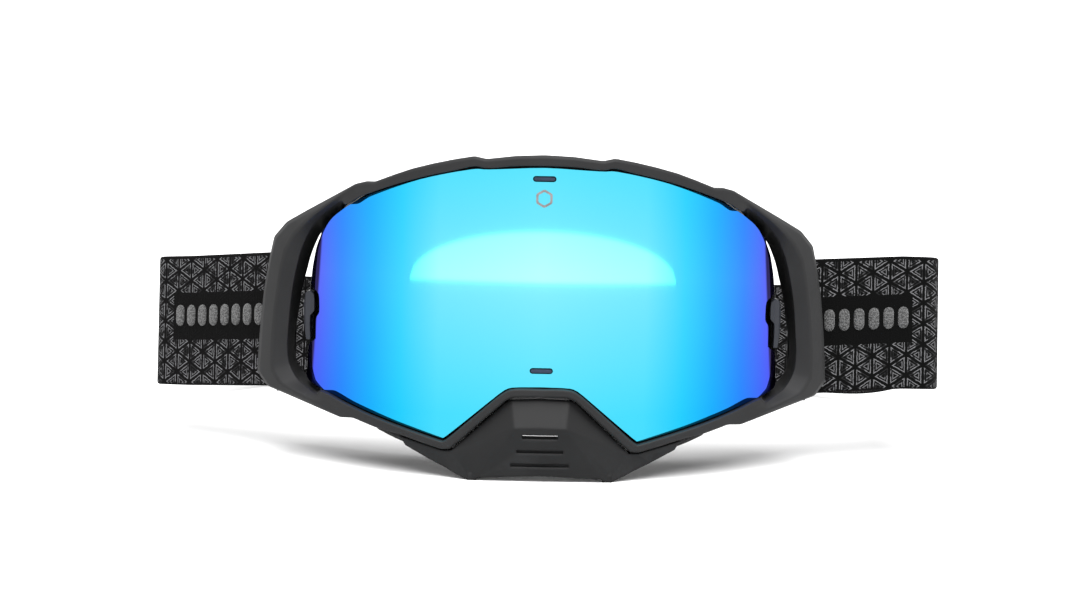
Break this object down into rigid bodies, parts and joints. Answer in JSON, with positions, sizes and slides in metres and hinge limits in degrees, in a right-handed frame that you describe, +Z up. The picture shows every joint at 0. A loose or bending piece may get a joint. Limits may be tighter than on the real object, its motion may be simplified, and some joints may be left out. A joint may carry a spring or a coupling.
{
  "type": "motorcycle goggles",
  "caption": "Motorcycle goggles with a mirrored quick-change lens held by pegs, magnets and side latches, a clip-on nose guard, layered face foam and an adjustable elastic strap.",
  "frame": {"origin": "on the floor, at the middle of the whole object's footprint, with the strap loop laid out behind", "axes": "+Z up, the lens looks along -Y, +X across the face"},
  "size_m": [0.2714, 0.2408, 0.1007],
  "materials": {
    "frame_plastic": "matt charcoal, fine texture",
    "face_plastic": "matt black, slightly soft",
    "mirror_lens": "cyan to violet mirror coating",
    "clear_lens": "clear, anti-fog",
    "peg_plastic": "satin blue-grey",
    "latch_plastic": "satin slate grey",
    "pin_steel": "plain steel",
    "magnet_nickel": "nickel plated",
    "foam": "open-cell foam",
    "fleece": "short-pile fleece",
    "strap_elastic": "woven elastic with a grey pattern",
    "slider_plastic": "satin black"
  },
  "bodies": {
    "frame": {"outer_frame": "frame_plastic", "face_frame": "face_plastic", "frame_magnet_left_1": "magnet_nickel", "frame_magnet_left_2": "magnet_nickel", "frame_magnet_left_3": "magnet_nickel", "frame_magnet_left_4": "magnet_nickel", "frame_magnet_right_1": "magnet_nickel", "frame_magnet_right_2": "magnet_nickel", "frame_magnet_right_3": "magnet_nickel", "frame_magnet_right_4": "magnet_nickel", "lens_peg_top": "peg_plastic", "lens_peg_bottom": "peg_plastic", "latch_pin_left": "pin_steel", "latch_pin_right": "pin_steel", "foam_base": "foam", "foam_mid": "foam", "face_fleece": "fleece", "vent_foam_top": "foam", "vent_foam_bottom_left": "foam", "vent_foam_bottom_right": "foam", "strap_left": "strap_elastic", "strap_right": "strap_elastic"},
    "lens": {"lens_outer": "mirror_lens", "lens_carrier": "face_plastic", "lens_spacer": "foam", "lens_inner": "clear_lens", "carrier_magnet_left_1": "magnet_nickel", "carrier_magnet_left_2": "magnet_nickel", "carrier_magnet_left_3": "magnet_nickel", "carrier_magnet_left_4": "magnet_nickel", "carrier_magnet_right_1": "magnet_nickel", "carrier_magnet_right_2": "magnet_nickel", "carrier_magnet_right_3": "magnet_nickel", "carrier_magnet_right_4": "magnet_nickel"},
    "latch_left": {"latch_left": "latch_plastic"},
    "latch_right": {"latch_right": "latch_plastic"},
    "nose_guard": {"nose_guard": "frame_plastic"},
    "slider_left": {"slider_left": "slider_plastic"},
    "slider_right": {"slider_right": "slider_plastic"}
  },
  "joints": [
    {"name": "lens_release", "type": "slide", "parent": "frame", "child": "lens", "axis": [0, -1, 0], "range_m": [0, 0.03]},
    {"name": "latch_left_pivot", "type": "hinge", "parent": "frame", "child": "latch_left", "pos_m": [-0.0762, -0.07599, 0.047], "axis": [0, 0, -1], "range_deg": [0, 18]},
    {"name": "latch_right_pivot", "type": "hinge", "parent": "frame", "child": "latch_right", "pos_m": [0.0762, -0.07599, 0.047], "axis": [0, 0, 1], "range_deg": [0, 18]},
    {"name": "nose_guard_release", "type": "slide", "parent": "frame", "child": "nose_guard", "axis": [0, -1, 0], "range_m": [0, 0.025]},
    {"name": "slider_left_adjust", "type": "slide", "parent": "frame", "child": "slider_left", "axis": [1, 0, 0], "range_m": [-0.015, 0.02]},
    {"name": "slider_right_adjust", "type": "slide", "parent": "frame", "child": "slider_right", "axis": [-1, 0, 0], "range_m": [-0.015, 0.02]}
  ]
}
